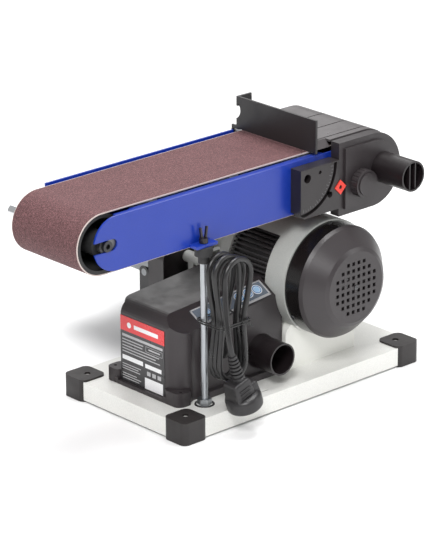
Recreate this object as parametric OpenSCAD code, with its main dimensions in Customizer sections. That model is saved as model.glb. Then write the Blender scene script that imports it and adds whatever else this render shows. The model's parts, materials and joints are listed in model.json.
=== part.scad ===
// Bench-top combination belt and disc sander, seen in its own frame:
// +X runs along the belt towards the drive drum, +Y points to the operator's side
// where the disc and its table are, +Z is up. The origin is on the floor, in the
// middle of the base.

/* [Base] */
// Length of the pressed base tray
base_l = 335; // [320:1:350]
// Width of the pressed base tray
base_w = 185; // [180:1:195]
// Height of the tray's top face above the floor
base_h = 22; // [20:0.5:26]
// Spacing of the bench bolt holes along X
bolt_span_x = 303; // [290:1:306]
// Spacing of the bench bolt holes along Y
bolt_span_y = 153; // [140:1:156]

/* [Belt] */
// Width of the abrasive belt
belt_w = 100; // [90:1:100]
// Radius over the belt on its drums
belt_r = 32.2; // [31:0.1:33]
// Thickness of the abrasive belt
belt_t = 1.2; // [0.8:0.1:1.6]
// Height of both drum axes above the floor
drum_z = 221.6; // [218:0.2:226]
// Place of the drive drum axis along X
drum_x = 120.4; // [116:0.2:124]
// Place of the idler drum axis along X
idler_x = -235.5; // [-240:0.5:-232]

/* [Motor] */
// Place of the motor axis along X
motor_x = 60; // [56:1:64]
// Height of the motor axis above the floor
motor_z = 116; // [114:1:118]
// Radius over the fan cowl
cowl_r = 60.8; // [58:0.2:61]

/* [Disc] */
// Radius of the abrasive disc
disc_r = 76; // [74:0.5:77]
// Height of the work table's face
table_z = 112; // [108:1:114]

/* [Hidden] */
$fn = 48;
eps = 0.01;
gap = 0.3;
fit = 0.05;

// base
sheet = 1.6;
rim_z = 2;
tray_r = 12;
cap_side = 32.5;
cap_skin = 2.2;
bolt_r = 3.5;
hole_x = bolt_span_x / 2;
hole_y = bolt_span_y / 2;

// support post
post_x = -114;
post_y = -64;
post_r = 3.65;
post_top = 181.3;
nut_af = 13;
nut_h = 6.5;
nut_gap = 0.03;

// arm
plate_y = 58;
plate_t = 2;
plate_top = 250.3;
plate_bot = 193.9;
nose_x = -224;
nose_r = (plate_top - plate_bot) / 2;
plate_mid = (plate_top + plate_bot) / 2;
plate_end = 142;
flange_y = 49;
slot_h = 12;
drum_r = belt_r - belt_t;
shaft_r = 7.45;
brg_r = 14;
brg_w = 7;
hub_r = 19;
hub_y = 66;
tab_x0 = -128;
tab_x1 = -100;
tab_y = 70;
tab_t = 3;
guard_r = 41;
guard_t = 2.2;
guard_x = 64;
hood_ahead = 16;
hood_top = drum_z + guard_r;
cover_y = 70;
stop_x = 40;
leg_y = [62.5, 69];
bracket_top = 245;

// motor, from the fan end (-Y) to the disc end (+Y)
cowl_front = -107;
cowl_rim = -84;
cowl_back = -63.5;
shell_back = -35.5;
fins_end = 23.5;
bell_end = 36;
neck_end = 59;
shell_r = 62.5;
fin_r = 60;
msh_r = 7;
msh_bore = 7.04;

// drive train and disc side
cast_y0 = 59;
cast_y1 = 65;
pulley_y0 = 67;
pulley_y1 = 77;
shroud_y0 = 78;
shroud_y1 = 102;
shroud_z0 = 24.6;
motor_pul_r = 17;
drum_pul_r = 15;
disc_y0 = 88;
disc_y1 = 96;
disc_y2 = 97.5;

// housing
hs_x0 = -138.5;
hs_x1 = 7.5;
hs_y0 = -51;
hs_y1 = 43;
hs_z0 = 22;
hs_top0 = 113.5;
hs_top1 = 124.5;
hs_slope = 5.3;
hs_bevel = 32.3;
bev_at = [-115, -27, 113.2];
flange_h = 7;
ear_h = 15;
hs_r = 20;
wall = 2.5;

// dust duct between the disc shroud and the housing
duct_x0 = -38;
duct_x1 = -20;
duct_z0 = 32;
duct_z1 = 50;

// table
tb_x0 = -40;
tb_x1 = 160;
tb_y0 = 106;
tb_y1 = 246;
tb_t = 6;
tb_pin_y = 114;
tb_pin_z = 98;
slot_y = 186;

// cord
cord_d = 6;
hank_x = -97;
hank_hw = 23;
hank_y0 = -95.5;
hank_y1 = -70.2;
hank_z0 = 54;
hank_z1 = 183.8;
gland_x = -82;
gland_z = 66;
plug_at = [-97, -107, 28];
plug_tilt = -17;
boot_top = 92;
LEAD_PTS = [[-82, -61, 91], [-82, -61, 96], [-81.8, -61.2, 104], [-81.5, -61.8, 112],
    [-81, -63, 121], [-80.4, -65, 132], [-79.8, -67.5, 144], [-79.2, -70.5, 156]];
TAIL_PTS = [[-115, -107, 87], [-118, -107, 97], [-119.5, -106.5, 107], [-119.6, -105, 117],
    [-118.6, -102.5, 126], [-117.4, -99, 135], [-116, -95, 144]];

// cylinder along Y between two planes
module ycyl(x, z, y0, y1, r) {
    translate([x, y1, z]) rotate([90, 0, 0]) cylinder(h = y1 - y0, r = r);
}

// cone along Y
module ycone(x, z, y0, y1, r0, r1) {
    translate([x, y1, z]) rotate([90, 0, 0]) cylinder(h = y1 - y0, r1 = r1, r2 = r0);
}

// tube along Y
module ytube(x, z, y0, y1, ro, ri) {
    difference() {
        ycyl(x, z, y0, y1, ro);
        ycyl(x, z, y0 - 1, y1 + 1, ri);
    }
}

// outline in X and Z, thick along Y
module yprism(y0, y1) {
    translate([0, y1, 0]) rotate([90, 0, 0]) linear_extrude(y1 - y0) children();
}

// box between two corners
module bar(x0, x1, y0, y1, z0, z1) {
    translate([x0, y0, z0]) cube([x1 - x0, y1 - y0, z1 - z0]);
}

// outline between two corners
module rect(x0, x1, z0, z1) {
    translate([x0, z0]) square([x1 - x0, z1 - z0]);
}

// rectangle with round corners
module round_rect(x0, x1, z0, z1, r) {
    rect(x0 + r, x1 - r, z0, z1);
    rect(x0, x1, z0 + r, z1 - r);
    for (x = [x0 + r, x1 - r], z = [z0 + r, z1 - r])
        translate([x, z]) circle(r);
}

// racetrack round both drums
module race(r) {
    rect(idler_x, drum_x, drum_z - r, drum_z + r);
    translate([idler_x, drum_z]) circle(r);
    translate([drum_x, drum_z]) circle(r);
}

// hexagon nut along Z
module nut_z(x, y, z, af, h) {
    translate([x, y, z]) rotate([0, 0, 15]) cylinder(h = h, r = af / sqrt(3), $fn = 6);
}

// pan head screw, head towards -Y at plane y
module pan_screw(x, y, z, r, len) {
    ycyl(x, z, y - 2.2, y, 2 * r);
    ycyl(x, z, y - eps, y + len, r);
}

// ---------------------------------------------------------------- base

module tray_solid(drop) {
    translate([0, 0, rim_z]) linear_extrude(base_h - rim_z - drop)
        round_rect(-base_l / 2 + drop, base_l / 2 - drop, -base_w / 2 + drop,
            base_w / 2 - drop, tray_r - drop);
}

module tray_shell() {
    difference() {
        tray_solid(0);
        translate([0, 0, -eps]) tray_solid(sheet);
    }
}

module base_tray() color("gainsboro") {
    difference() {
        tray_shell();
        for (x = [-hole_x, hole_x], y = [-hole_y, hole_y])
            translate([x, y, 0]) cylinder(h = 40, r = bolt_r);
        translate([post_x, post_y, 0]) cylinder(h = 40, r = post_r + 0.1);
        // slit for a cable tie
        bar(-50, -41, -82, -80, 10, 30);
    }
}

module foot_caps() color("#2b2b2e") {
    for (sx = [-1, 1], sy = [-1, 1]) foot_cap(sx, sy);
}

module foot_cap(sx, sy) {
    ox = base_l / 2 + cap_skin;
    oy = base_w / 2 + cap_skin + 0.2;
    difference() {
        mirror([1 - sx, 0, 0]) mirror([0, 1 - sy, 0]) linear_extrude(base_h + cap_skin)
            round_rect(ox - cap_side, ox, oy - cap_side, oy, 7);
        tray_shell();
        translate([sx * hole_x, sy * hole_y, -1]) cylinder(h = 40, r = bolt_r);
    }
}

// ---------------------------------------------------------------- motor

module motor_frame() color("#b9bdb8") {
    difference() {
        union() {
            // ring that carries the fan end
            ycyl(motor_x, motor_z, cowl_back, shell_back, shell_r);
            // saddle over the stator
            intersection() {
                ycyl(motor_x, motor_z, cowl_back, bell_end, shell_r);
                bar(motor_x - 40, motor_x + 70, cowl_back, bell_end, motor_z + 48, motor_z + 70);
            }
            // bell and neck at the disc end
            ycyl(motor_x, motor_z, fins_end, bell_end, shell_r);
            ycyl(motor_x, motor_z, bell_end - eps, neck_end, 40);
            // foot on the base
            yprism(-56, bell_end) foot_outline();
        }
        ycyl(motor_x, motor_z, -70, fins_end, fin_r + 0.1);
        ycyl(motor_x, motor_z, fins_end - eps, bell_end - 9, 40);
        ycyl(motor_x, motor_z, bell_end - 10, bell_end - 1, 16);
        ycyl(motor_x, motor_z, bell_end - 10, neck_end + 1, msh_r + 2);
    }
}

module foot_outline() {
    rect(motor_x - 52, motor_x + 49, base_h, 60);
    round_rect(motor_x - 52, motor_x + 49, base_h + 4, 72, 12);
}

module stator() color("#1d1c1f") {
    difference() {
        union() {
            ycyl(motor_x, motor_z, shell_back, fins_end, 54.5);
            ycyl(motor_x, motor_z, shell_back - 12, shell_back, 50);
            for (a = [0 : 5 : 355]) rib(a);
        }
        ycyl(motor_x, motor_z, shell_back - 20, fins_end + 1, 34);
    }
}

module rib(a) {
    translate([motor_x, 0, motor_z]) rotate([0, a, 0])
        bar(54, fin_r, shell_back, fins_end, -0.9, 0.9);
}

module fan_cowl() color("#3a393d") {
    difference() {
        union() {
            ycyl(motor_x, motor_z, cowl_rim, cowl_back, cowl_r);
            ycone(motor_x, motor_z, cowl_front, cowl_front + 2.4 + eps, 38.6, 43);
            ycone(motor_x, motor_z, cowl_front + 2.4, cowl_rim - 4 + eps, 43, 58.6);
            ycone(motor_x, motor_z, cowl_rim - 4, cowl_rim + eps, 58.6, cowl_r);
        }
        ycyl(motor_x, motor_z, cowl_rim - eps, cowl_back + 1, cowl_r - 2.4);
        ycone(motor_x, motor_z, cowl_front + 2.4, cowl_rim, 39, cowl_r - 2.4);
        vents();
        ycyl(motor_x, motor_z, cowl_front - 1, cowl_rim, 1.9);
        cowl_screw_set();
    }
}

// three screws round the cowl's band
module cowl_screw_set() {
    for (a = [-90, 30, 150]) translate([motor_x, -67.5, motor_z]) rotate([0, a, 0])
        translate([cowl_r - 2.4, 0, 0]) rotate([0, 90, 0]) cylinder(h = 3.4, r = 2.4);
}

// square air holes, in a grid with its corners left out
module vents() {
    pitch = 7.6;
    hole = 4;
    for (i = [-3.5 : 3.5], j = [-3.5 : 3.5])
        if (abs(i) + abs(j) < 6)
            bar(motor_x + i * pitch - hole / 2, motor_x + i * pitch + hole / 2,
                cowl_front - 1, cowl_front + 4,
                motor_z + j * pitch - hole / 2, motor_z + j * pitch + hole / 2);
}

module case_screws() color("#6f7072") {
    cowl_screw_set();
    // screw in the middle of the cowl
    ycyl(motor_x, motor_z, cowl_front - 0.6, cowl_front + 6, 1.9);
}

module motor_bearings() color("#9a9c9f") {
    ytube(motor_x, motor_z, bell_end - 9, bell_end - 1, 16, msh_bore);
    ytube(motor_x, motor_z, -46, -38, 16, msh_bore);
}

// plate that holds the fan-end bearing
module end_shield() color("#a7aaa6") {
    difference() {
        union() {
            ycyl(motor_x, motor_z, -50, shell_back - 12, 50);
            ycyl(motor_x, motor_z, shell_back - 12 - eps, -38, 20);
        }
        ycyl(motor_x, motor_z, -51, -37, 9);
        ycyl(motor_x, motor_z, -46, -37, 16);
    }
}

module motor_shaft() color("#b5b7ba") {
    ycyl(motor_x, motor_z, -92, 92, msh_r);
}

module rotor_core() color("#77797c") {
    difference() {
        ycyl(motor_x, motor_z, -32, 18, 33);
        ycyl(motor_x, motor_z, -40, 30, msh_r);
    }
}

module cooling_fan() color("#4c4b50") {
    difference() {
        union() {
            ycyl(motor_x, motor_z, -88, -62, 12);
            ycyl(motor_x, motor_z, -66, -63, 48);
            for (a = [0 : 45 : 315]) translate([motor_x, 0, motor_z]) rotate([0, a, 0])
                bar(10, 48, -84, -65, -1.2, 1.2);
        }
        ycyl(motor_x, motor_z, -100, 0, msh_r);
    }
}

module motor_pulley() color("#8d9093") {
    difference() {
        union() {
            ycyl(motor_x, motor_z, pulley_y0, pulley_y1, motor_pul_r - 2);
            ycyl(motor_x, motor_z, pulley_y0, pulley_y0 + 1, motor_pul_r + 2);
            ycyl(motor_x, motor_z, pulley_y1 - 1, pulley_y1, motor_pul_r + 2);
        }
        ycyl(motor_x, motor_z, 0, 100, msh_r);
    }
}

// ---------------------------------------------------------------- drive side

module pan_outline(grow) {
    hull() {
        translate([motor_x, motor_z]) circle(28 + grow);
        translate([drum_x, drum_z]) circle(26 + grow);
    }
}

module drive_casting() color("#b9bdb8") {
    difference() {
        union() {
            yprism(cast_y0, shroud_y0) pan_outline(4);
            // foot that stands on the base
            yprism(cast_y0, 74) rect(motor_x - 40, motor_x + 40, base_h, motor_z);
            // boss and web beside the disc
            ycyl(-9, 119, 46, shroud_y0, 6.5);
            yprism(62, 70) polygon([[-15, base_h], [34, base_h], [34, 122], [-9, 122], [-15, 116]]);
        }
        difference() {
            yprism(cast_y1, shroud_y0 + 1) pan_outline(0);
            bar(-60, 10, 50, 90, 0, 200);
        }
        ycyl(motor_x, motor_z, 50, 90, 14);
        ycyl(drum_x, drum_z, 50, 90, hub_r + fit);
        // light pocket in the foot
        bar(motor_x - 34, motor_x + 34, cast_y1, 75, base_h + 6, motor_z - 34);
    }
}

module drive_belt() color("#1b1b1d") {
    difference() {
        yprism(pulley_y0 + 1.5, pulley_y1 - 1.5) belt_hull(1.9);
        yprism(pulley_y0, pulley_y1) belt_hull(0);
    }
}

module belt_hull(grow) {
    hull() {
        translate([motor_x, motor_z]) circle(motor_pul_r - 1.7 + grow);
        translate([drum_x, drum_z]) circle(drum_pul_r - 1.7 + grow);
    }
}

module disc_shroud() color("#242326") {
    difference() {
        yprism(shroud_y0, shroud_y1) round_rect(-43, 163, shroud_z0, 130, 10);
        yprism(shroud_y0 + 2.5, shroud_y1 + 1) {
            translate([motor_x, motor_z]) circle(disc_r + 4);
            rect(motor_x - disc_r - 4, motor_x + disc_r + 4, motor_z, 140);
        }
        // pockets behind the corner posts
        for (x = [-40.5, 142.5]) bar(x, x + 18, 81, 110, 100, 127.5);
        bar(132.5, 160.5, 81, 110, shroud_z0 + 2.5, 50);
        ycyl(motor_x, motor_z, 70, 90, 21);
        // channel from the disc chamber to the dust duct
        bar(-40.5, 32, 81, 110, shroud_z0 + 2.5, 52);
        bar(duct_x0 + 2, duct_x1 - 2, 70, 82, duct_z0 + 2, duct_z1 - 2);
    }
}

module disc_plate() color("#8f9194") {
    difference() {
        union() {
            ycyl(motor_x, motor_z, disc_y0, disc_y1, disc_r - 1);
            ycyl(motor_x, motor_z, shroud_y0 + 1, disc_y0 + eps, 17);
        }
        ycyl(motor_x, motor_z, 0, 92, msh_r);
    }
}

module disc_abrasive() color("#5a3330") {
    ycyl(motor_x, motor_z, disc_y1, disc_y2, disc_r);
}

// ---------------------------------------------------------------- housing

// side outline, with a round shoulder over the label end
module side_outline(top0, top1, cut) {
    r = 15 - cut;
    x0 = hs_x0 + cut;
    polygon([[x0, hs_z0], [x0, top0 - r - cut], for (a = [170 : -10 : 100])
        [x0 + r + r * cos(a), top0 - r - cut + r * sin(a)], [x0 + r, top0 - cut],
        [hs_x1 - cut, top1 - cut], [hs_x1 - cut, hs_z0]]);
}

module housing_body(cut) {
    intersection() {
        yprism(hs_y0 + cut, hs_y1 - cut) side_outline(hs_top0, hs_top1, cut);
        // plan with round corners at the label end
        translate([0, 0, -1]) linear_extrude(200) {
            rect(hs_x0 + hs_r, hs_x1, hs_y0 + cut, hs_y1 - cut);
            rect(hs_x0 + cut, hs_x1, hs_y0 + hs_r, hs_y1 - 6);
            translate([hs_x0 + hs_r, hs_y0 + hs_r]) circle(hs_r - cut);
            translate([hs_x0 + hs_r, hs_y1 - hs_r]) circle(hs_r - cut);
        }
        // bevel along the rear top edge
        below_bevel(cut);
    }
}

// everything under the plane of the bevel
module below_bevel(cut) {
    on_bevel() translate([-250, -250, -300 - cut]) cube([500, 500, 300]);
}

// places its children on the bevel, X along it and Z out of it
module on_bevel() {
    translate(bev_at) rotate([0, -hs_slope, 0]) rotate([hs_bevel, 0, 0]) children();
}

module housing() color("#37363a") {
    difference() {
        union() {
            difference() {
                union() {
                    housing_body(0);
                    flange();
                }
                housing_body(wall);
            }
            intersection() {
                housing_body(0);
                translate([post_x, post_y, hs_z0]) cylinder(h = 200, r = 17);
            }
        }
        // the label runs down behind a low lip between the ears
        bar(hs_x0 - 9, hs_x0, hs_y0 + hs_r - 0.5, hs_y1 - hs_r + 14.4, hs_z0 + 4, hs_z0 + ear_h + 1);
        bar(hs_x0 - 0.6, hs_x0, hs_y0 + hs_r - 0.5, hs_y1 - hs_r + 14.4, hs_z0 + 1.3, hs_z0 + 5);
        // recess that lets the support post pass
        translate([post_x, post_y, hs_z0 - 1]) cylinder(h = 200, r = 14.5);
        ycyl(motor_x, motor_z, -90, 100, shell_r + gap);
        // openings: port, gland, switch plate, duct
        ycyl(-24, 52, hs_y0 - 20, hs_y0 + 10, 14.9);
        ycyl(gland_x, gland_z, hs_y0 - 10, hs_y0 + 10, 4.6);
        for (x = [-110, -86]) ycyl(x, 78, hs_y1 - 10, hs_y1 + 1, 8);
        bar(duct_x0 + 2, duct_x1 - 2, hs_y1 - 10, hs_y1 + 10, duct_z0 + 2, duct_z1 - 2);
        // foot screw holes
        for (y = [hs_y0 - 0.5, hs_y1 + 7]) translate([hs_x0 + 3, y, 0]) cylinder(h = 60, r = 1.8);
    }
}

// low flange with two taller ears at the label end
module flange() {
    translate([0, 0, hs_z0]) linear_extrude(flange_h)
        round_rect(hs_x0 - 4.5, hs_x1, hs_y0 - 6, hs_y1 + 5, 9);
    translate([0, 0, hs_z0]) linear_extrude(ear_h) {
        round_rect(hs_x0 - 4.5, hs_x0 + 24, hs_y0 - 6, hs_y0 + 20, 9);
        round_rect(hs_x0 - 4.5, hs_x0 + 16, hs_y1 - 5.5, hs_y1 + 13, 6);
    }
}

module lower_dust_port() color("#1d1c1f") {
    difference() {
        union() {
            ycyl(-24, 52, -85, -60, 17.3);
            ycone(-24, 52, -60 - eps, hs_y0, 17.3, 18.6);
            ycyl(-24, 52, hs_y0 - eps, hs_y0 + 4, 14.9);
        }
        ycyl(-24, 52, -86, hs_y0 + 5, 13.5);
        ycyl(-24, 52, -86, -55, 15.5);
    }
}

// rectangular duct that takes the disc's dust to the housing
module dust_duct() color("#242326") {
    difference() {
        bar(duct_x0, duct_x1, hs_y1, shroud_y0, duct_z0, duct_z1);
        bar(duct_x0 + 2, duct_x1 - 2, hs_y1 - 1, shroud_y0 + 1, duct_z0 + 2, duct_z1 - 2);
    }
}

module rating_label() color("#4a494d") {
    bar(hs_x0 - 0.4, hs_x0, hs_y0 + hs_r, hs_y1 - hs_r + 14, hs_z0 + 1.5, 98.3);
}

// plate on the bevel that faces the rear
module bevel_label() color("#3d4a60") {
    on_bevel() translate([10, -26, 0]) cube([98, 21, 0.5]);
}

module switch_plate() color("#2a292c") {
    difference() {
        yprism(hs_y1 + gap - 0.3, hs_y1 + 3) round_rect(-126, -70, 58, 98, 4);
        for (x = [-110, -86]) ycyl(x, 78, 0, 60, 8);
    }
}

module start_button() color("#2f9e57") {
    ycyl(-110, 78, hs_y1 - 8, hs_y1 + 6, 7.7);
}

module stop_button() color("#c4302b") {
    ycyl(-86, 78, hs_y1 - 8, hs_y1 + 6, 7.7);
}

// ---------------------------------------------------------------- post

module support_post() color("#c3c6c9") {
    translate([post_x, post_y, base_h - 8]) cylinder(h = post_top - base_h + 8, r = post_r);
}

module post_nuts() color("#a9acaf") {
    for (z = [base_h + nut_gap, base_h - sheet - nut_h - nut_gap]) difference() {
        nut_z(post_x, post_y, z, nut_af, nut_h);
        translate([post_x, post_y, z - 1]) cylinder(h = nut_h + 2, r = post_r);
    }
}

module rest_bumper() color("#232225") {
    difference() {
        union() {
            translate([post_x, post_y, 184]) cylinder(h = plate_bot - gap - 184, r = 9.5);
            translate([post_x, post_y, 176]) cylinder(h = 9, r = 6);
        }
        translate([post_x, post_y, 170]) cylinder(h = post_top - 170, r = post_r);
        translate([post_x, post_y, post_top - eps]) cylinder(h = 20, r = 5);
    }
}

// ---------------------------------------------------------------- arm

module plate_outline() {
    difference() {
        union() {
            rect(nose_x, plate_end, plate_bot, plate_top);
            translate([nose_x, plate_mid]) circle(nose_r);
        }
        rect(nose_x - 40, idler_x + 7, drum_z - slot_h / 2, drum_z + slot_h / 2);
        translate([idler_x + 7, drum_z]) circle(slot_h / 2);
        translate([drum_x, drum_z]) circle(brg_r - 2);
    }
}

// side plate on the -Y side, mirrored for the far one
module side_plate() {
    yprism(-plate_y, -plate_y + plate_t) plate_outline();
    bar(-222, -200, -plate_y, -51.5, plate_top - plate_t, plate_top);
    for (z = [plate_top - plate_t, plate_bot])
        bar(-200 - eps, guard_x - 4, -plate_y, -flange_y, z, z + plate_t);
}

module side_plate_near() color("#2f49b8") {
    side_plate();
    ytube(drum_x, drum_z, -hub_y, -plate_y + eps, hub_r, brg_r);
    // support tab over the post
    difference() {
        bar(tab_x0, tab_x1, -tab_y, -plate_y + eps, plate_bot, plate_bot + tab_t);
        translate([post_x, post_y, 180]) cylinder(h = 30, r = 2.55);
    }
}

module side_plate_far() color("#2f49b8") {
    mirror([0, 1, 0]) side_plate();
    // raised lip along the far edge of the belt
    bar(-218, 38, plate_y - plate_t, plate_y, plate_top - 2, 254.4);
    ytube(drum_x, drum_z, plate_y - eps, hub_y, hub_r, brg_r);
}

module platen() color("#6d7073") {
    z1 = drum_z + belt_r - belt_t - 0.2;
    bar(-192, 78, -47, 47, z1 - 1.8, z1);
    for (x = [-170, -60, 46])
        bar(x, x + 12, -plate_y + plate_t, plate_y - plate_t, z1 - 17, z1 - 4.4);
    for (x = [-170, -60, 46]) bar(x, x + 12, -44, 44, z1 - 5, z1 - 1.8 + eps);
}

module sanding_belt() color("#6b4442") {
    yprism(-belt_w / 2, belt_w / 2) difference() {
        race(belt_r);
        race(belt_r - belt_t);
    }
}

// bracket block with its quadrant groove, on the -Y side
module bracket(x1) {
    difference() {
        union() {
            yprism(-plate_y - 15, -plate_y) {
                rect(12.5, x1, 197, 245);
                rect(17, x1, 192, 245);
            }
        }
        // quadrant groove
        intersection() {
            ytube(14, 244, -plate_y - 20, -plate_y - 11, 50, 46);
            bar(12.5, 80, -90, -60, 180, 244);
        }
        ycyl(22, 235, -90, -plate_y - 6, 4.8);
        ycyl(x1 - 13, 210.4, -90, -plate_y - 6, 3.4);
        for (h = [[22, 235], [x1 - 13, 210.4]]) ycyl(h[0], h[1], -90, 0, 1.6);
        // notch for reading the angle
        ycyl(40, 238, -90, -plate_y - 13, 2);
    }
}

module near_bracket() color("#2c2b2e") {
    bracket(67.5);
}

module far_bracket() color("#2c2b2e") {
    difference() {
        mirror([0, 1, 0]) bracket(58);
        for (y = leg_y) translate([51, y, 230]) cylinder(h = 20, r = 1.6);
    }
}

module angle_pointer() color("#d8352c") {
    translate([68.8, -plate_y - 15, 215.4]) rotate([90, 45, 0]) linear_extrude(1.2)
        difference() {
            rect(-5.6, 5.6, -5.6, 5.6);
            circle(2.3);
        }
}

// hood over the drive drum
module drum_guard() color("#58575b") {
    difference() {
        yprism(-plate_y + plate_t, plate_y - plate_t) hood_outline(0);
        yprism(-plate_y - 1, plate_y + 1) hood_outline(guard_t);
        skirt_prism(guard_x - hood_ahead - 1,
            [[-60, 254], [-60, 264], [-48.8, 264], [-48.8, hood_top - 0.6], [-55, 254]]);
        // grooves along the top
        for (y = [-47, -19, 14]) {
            bar(40, drum_x, y - 0.8, y + 0.8, drum_z + guard_r - 1, 300);
            ytube(drum_x, drum_z, y - 0.8, y + 0.8, guard_r + 9, guard_r - 1);
        }
    }
    // sloped skirt down to the near plate
    skirt_prism(guard_x - hood_ahead, [[-56, 255.1], [-53.2, 255.1],
        [-48.2, hood_top - guard_t], [-48.2, hood_top], [-49.2, hood_top]]);
}

// prism along X up to the side cover, from points in Y and Z
module skirt_prism(x0, points) {
    translate([x0, 0, 0]) rotate([90, 0, 90]) linear_extrude(70 - x0) polygon(points);
}

module hood_outline(cut) {
    difference() {
        union() {
            translate([drum_x, drum_z]) circle(guard_r - cut);
            rect(guard_x - hood_ahead - cut, drum_x, drum_z, drum_z + guard_r - cut);
            rect(guard_x + 30 - cut, drum_x, drum_z - guard_r + cut, drum_z);
        }
        if (cut == 0) rect(-300, guard_x + 40, 100, drum_z + 33.5);
    }
}

module guard_side_cover() color("#323134") {
    difference() {
        union() {
            yprism(-cover_y, -plate_y) cover_outline(0);
            yprism(-cover_y - 3, -cover_y) cover_outline(7);
        }
        yprism(-cover_y + 2.5, -plate_y + 1) cover_outline(2.5);
        ycyl(98.5, 214, -90, 0, 2.6);
        ycyl(131, 223.5, -90, 0, 14.6);
    }
}

module cover_outline(cut) {
    translate([drum_x, drum_z]) circle(guard_r - 1 - cut);
    rect(70 + cut, drum_x, drum_z - guard_r + 1 + cut, drum_z + guard_r - 1 - cut);
}

module belt_dust_port() color("#232225") {
    difference() {
        ycyl(131, 223.5, -118, -cover_y - 3, 16.5);
        ycyl(131, 223.5, -119, -60, 14.6);
    }
    ytube(131, 223.5, -cover_y - 3 - eps, -cover_y + 2, 14.55, 13);
    for (x = [127, 135]) bar(x - 0.8, x + 0.8, -117, -cover_y, 223.5 - 14, 223.5 + 14);
}

module drum_bearings() color("#9a9c9f") {
    ytube(drum_x, drum_z, -hub_y + 1, -hub_y + 1 + brg_w, brg_r, shaft_r + fit);
    ytube(drum_x, drum_z, hub_y - 1 - brg_w, hub_y - 1, brg_r, shaft_r + fit);
}

module drive_drum() color("#3b3b3e") {
    difference() {
        ycyl(drum_x, drum_z, -50, 50, drum_r - 0.1);
        for (y = [-51, 8]) ytube(drum_x, drum_z, y, y + 43, drum_r - 4, 14);
    }
    ycyl(drum_x, drum_z, -hub_y, pulley_y1, shaft_r);
}

module drum_pulley() color("#8d9093") {
    difference() {
        union() {
            ycyl(drum_x, drum_z, pulley_y0, pulley_y1, drum_pul_r - 2);
            ycyl(drum_x, drum_z, pulley_y0, pulley_y0 + 1, drum_pul_r + 2);
            ycyl(drum_x, drum_z, pulley_y1 - 1, pulley_y1, drum_pul_r + 2);
        }
        ycyl(drum_x, drum_z, 0, 100, shaft_r);
    }
}

// stop plate across the belt, with a foot on the far bracket
module work_stop() color("#2b2a2d") {
    translate([stop_x, 0, 0]) rotate([90, 0, 90]) linear_extrude(2.5) stop_outline();
    difference() {
        bar(stop_x, 57, plate_y + 0.6, 73, bracket_top, bracket_top + 2.5);
        for (y = leg_y) translate([51, y, 240]) cylinder(h = 10, r = 2.2);
    }
    bar(stop_x, 60, 51, 53.5, 281, 291.5);
}

module stop_outline() {
    difference() {
        union() {
            rect(-66, 53.5, 256, 291.5);
            rect(50, 61, bracket_top, 259);
        }
        translate([57.5, 276.5]) circle(10);
        rect(48, plate_y + 0.6, 220, 255.5);
    }
}

module arm_screws() color("#7a7c7f") {
    // bolts of both brackets
    pan_screw(22, -plate_y - 6, 235, 1.6, 6);
    pan_screw(54.5, -plate_y - 6, 210.4, 1.6, 6);
    // bolts of the stop's foot
    for (y = leg_y) translate([51, y, bracket_top + 2.5]) {
        cylinder(h = 2, r = 3);
        translate([0, 0, -14]) cylinder(h = 14.1, r = 1.6);
    }
}

module wing_screw() color("#29282b") {
    translate([post_x, post_y, 186]) cylinder(h = 14, r = 2.5);
    translate([post_x, post_y, plate_bot + tab_t + gap]) cylinder(h = 5, r = 4.5);
    for (s = [-1, 1]) translate([post_x + s * 2.2, post_y, plate_bot + tab_t + 3])
        rotate([0, s * 9, 0]) translate([-1, -1.2, 0]) cube([2, 2.4, 14]);
}

module guard_knob() color("#38373a") {
    yk = -cover_y - 3 - gap;
    difference() {
        ycyl(98.5, 214, yk - 10, yk, 15);
        for (a = [0 : 20 : 340]) translate([98.5, 0, 214]) rotate([0, a, 0])
            ycyl(15.6, 0, yk - 8, yk + 1, 1.4);
    }
    ycyl(98.5, 214, yk - 11.5, yk - 10 + eps, 12);
    ycyl(98.5, 214, yk - eps, -cover_y + 6, 2.5);
}

// ---------------------------------------------------------------- idler

module idler_yoke() color("#3f4043") {
    for (s = [0, 1]) mirror([0, s, 0]) {
        difference() {
            yprism(-plate_y + plate_t + gap, -51) {
                rect(idler_x, -203, drum_z - 8, drum_z + 8);
                translate([idler_x, drum_z]) circle(8);
            }
            ycyl(idler_x, drum_z, -80, 0, 5);
        }
    }
    bar(-203 - eps, -197, -plate_y + plate_t + gap, plate_y - plate_t - gap,
        drum_z - 8, drum_z + 8);
}

module idler_axle() color("#b9bcc0") {
    difference() {
        union() {
            ycyl(idler_x, drum_z, -plate_y - 1, 84, 5);
            // socket head in the near plate's slot
            ycyl(idler_x, drum_z, -plate_y - 1.4, -plate_y + plate_t, 5.7);
        }
        translate([idler_x, -plate_y + 1.6, drum_z]) rotate([90, 0, 0])
            cylinder(h = 4, r = 2.9, $fn = 6);
    }
}

module idler_drum() color("#1f1f22") {
    difference() {
        ycyl(idler_x, drum_z, -49.5, 49.5, drum_r - 0.1);
        for (y = [-50.5, 10.5]) ytube(idler_x, drum_z, y, y + 40, drum_r - 4, 13);
        ycyl(idler_x, drum_z, -60, 60, 5 + fit);
    }
}

module tracking_knob() color("#c9ccd0") {
    difference() {
        union() {
            ycyl(idler_x, drum_z, plate_y + 5, plate_y + 14, 9);
            ycyl(idler_x, drum_z, plate_y + 14 - eps, 89, 6.2);
        }
        ycyl(idler_x, drum_z, 0, 84 + gap, 5 + fit);
        for (a = [0 : 30 : 330]) translate([idler_x, 0, drum_z]) rotate([0, a, 0])
            ycyl(9.4, 0, plate_y + 4, plate_y + 15, 1.2);
    }
}

module tension_lever() color("#2a292c") {
    ycyl(-150, drum_z, plate_y + gap, plate_y + 7, 12);
    yprism(plate_y + 1, plate_y + 6) round_rect(-152, -86, drum_z - 5, drum_z + 5, 4.9);
    ycyl(-92, drum_z, plate_y + 5.9, plate_y + 18, 6);
}

// ---------------------------------------------------------------- table

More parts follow.
